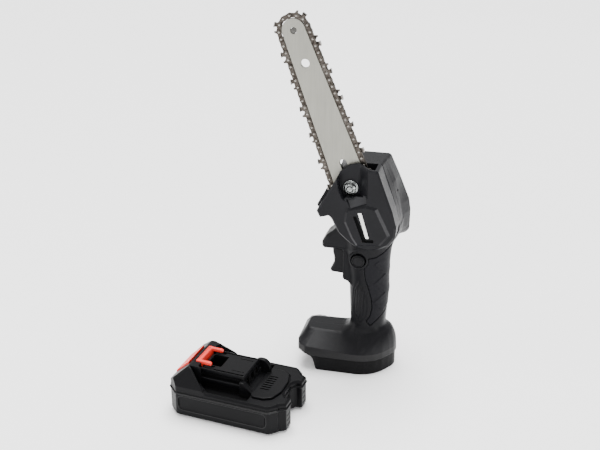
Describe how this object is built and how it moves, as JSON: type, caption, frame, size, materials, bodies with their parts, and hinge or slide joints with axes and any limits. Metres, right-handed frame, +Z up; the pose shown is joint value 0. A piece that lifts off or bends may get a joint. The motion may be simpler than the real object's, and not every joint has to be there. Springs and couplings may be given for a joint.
{
  "type": "cordless pruning chainsaw",
  "caption": "Compact cordless pruning chainsaw with a pistol grip, short guide bar and chain, side cover, trigger with safety lock, and a slide-on battery pack beside it.",
  "frame": {"origin": "middle of the footprint of saw and battery together, on the surface both stand on", "axes": "+Z up, -X the way the trigger and the bar lean (forward), +X behind the hand, -Y the chain cover side, +Y the motor side"},
  "size_m": [0.1924, 0.1868, 0.3491],
  "materials": {
    "shell": "fine grained, near black",
    "cover": "satin black",
    "rubber": "soft touch, matt black",
    "bar_steel": "satin ground",
    "gear_steel": "machined",
    "spring_steel": "drawn wire",
    "dark_steel": "oiled dark steel",
    "zinc_steel": "bright zinc",
    "alu": "die cast",
    "winding": "copper",
    "black_plastic": "smooth black",
    "board": "circuit board",
    "cell": "plastic sleeve over a metal can",
    "red": "moulded red",
    "label": "plain light strip"
  },
  "bodies": {
    "saw": {"housing_left": "shell", "housing_right": "shell", "chain_cover": "cover", "grip_left": "rubber", "grip_right": "rubber", "bearing_front": "gear_steel", "bearing_rear": "gear_steel", "trigger_spring": "spring_steel", "lock_spring": "spring_steel", "chain": "dark_steel", "motor_can": "dark_steel", "housing_screw_1": "dark_steel", "housing_screw_2": "dark_steel", "housing_screw_3": "dark_steel", "housing_screw_4": "dark_steel", "housing_screw_5": "dark_steel", "housing_screw_6": "dark_steel", "housing_screw_7": "dark_steel", "bar_stud": "zinc_steel", "bar_plate_inner": "zinc_steel", "bar_plate_outer": "zinc_steel", "gearbox_plate": "alu", "motor_end_cap": "alu", "motor_stator": "winding", "terminal_plus": "winding", "terminal_minus": "winding", "lock_bracket": "black_plastic", "switch_module": "black_plastic", "terminal_block": "black_plastic", "controller_board": "board", "label_plate": "label"},
    "drive_output": {"output_shaft": "gear_steel", "drive_gear": "dark_steel", "sprocket": "dark_steel", "sprocket_clip": "zinc_steel"},
    "motor_shaft": {"motor_rotor": "gear_steel", "pinion": "gear_steel"},
    "bar": {"guide_bar": "bar_steel", "nose_rivet": "bar_steel", "tension_block": "gear_steel"},
    "nose_wheel": {"nose_sprocket": "dark_steel"},
    "tension_screw": {"tension_screw": "zinc_steel"},
    "bar_nut": {"bar_nut": "zinc_steel"},
    "trigger": {"trigger": "black_plastic"},
    "lock_button": {"lock_button": "black_plastic"},
    "battery": {"battery_lower_case": "shell", "battery_upper_case": "shell", "latch_spring": "spring_steel", "battery_board": "board", "battery_contact_plus": "winding", "battery_contact_minus": "winding", "battery_cell_1": "cell", "battery_cell_2": "cell", "battery_cell_3": "cell", "battery_cell_4": "cell", "battery_cell_5": "cell"},
    "battery_latch": {"battery_latch": "red"}
  },
  "joints": [
    {"name": "drive_spin", "type": "hinge", "parent": "saw", "child": "drive_output", "pos_m": [0.05934, 0.04439, 0.157], "axis": [0, 1, 0], "continuous": true},
    {"name": "motor_spin", "type": "hinge", "parent": "saw", "child": "motor_shaft", "pos_m": [0.07269, 0.07439, 0.15161], "axis": [0, 1, 0], "continuous": true},
    {"name": "tension_turn", "type": "hinge", "parent": "saw", "child": "tension_screw", "pos_m": [0.05687, 0.04914, 0.19899], "axis": [0.3644, 0, -0.9312], "range_deg": [-1546, 0]},
    {"name": "bar_slide", "type": "slide", "parent": "saw", "child": "bar", "axis": [-0.3644, 0, 0.9312], "range_m": [-0.003, 0]},
    {"name": "nose_spin", "type": "hinge", "parent": "bar", "child": "nose_wheel", "pos_m": [-0.00931, 0.04439, 0.33245], "axis": [0, 1, 0], "continuous": true},
    {"name": "nut_turn", "type": "hinge", "parent": "saw", "child": "bar_nut", "pos_m": [0.04579, 0.03739, 0.19164], "axis": [0, 1, 0], "continuous": true},
    {"name": "trigger_pull", "type": "slide", "parent": "saw", "child": "trigger", "axis": [1, 0, 0], "range_m": [0, 0.0055], "stiffness_N_per_m": 600, "springref_m": -0.002, "deforming": ["trigger_spring"]},
    {"name": "lock_push", "type": "slide", "parent": "saw", "child": "lock_button", "axis": [0, 1, 0], "range_m": [0, 0.002], "stiffness_N_per_m": 400, "springref_m": -0.002, "deforming": ["lock_spring"]},
    {"name": "battery_pull", "type": "slide", "parent": "saw", "child": "battery", "axis": [0.9911, -0.1329, 0], "range_m": [0, 0.06]},
    {"name": "latch_press", "type": "slide", "parent": "battery", "child": "battery_latch", "axis": [0, 0, -1], "range_m": [0, 0.003], "stiffness_N_per_m": 500, "springref_m": -0.002, "deforming": ["latch_spring"]}
  ],
  "couplings": [
    {"joint": "motor_spin", "follows": "drive_spin", "ratio": -3},
    {"joint": "tension_turn", "follows": "bar_slide", "rad_per_m": 8976}
  ]
}
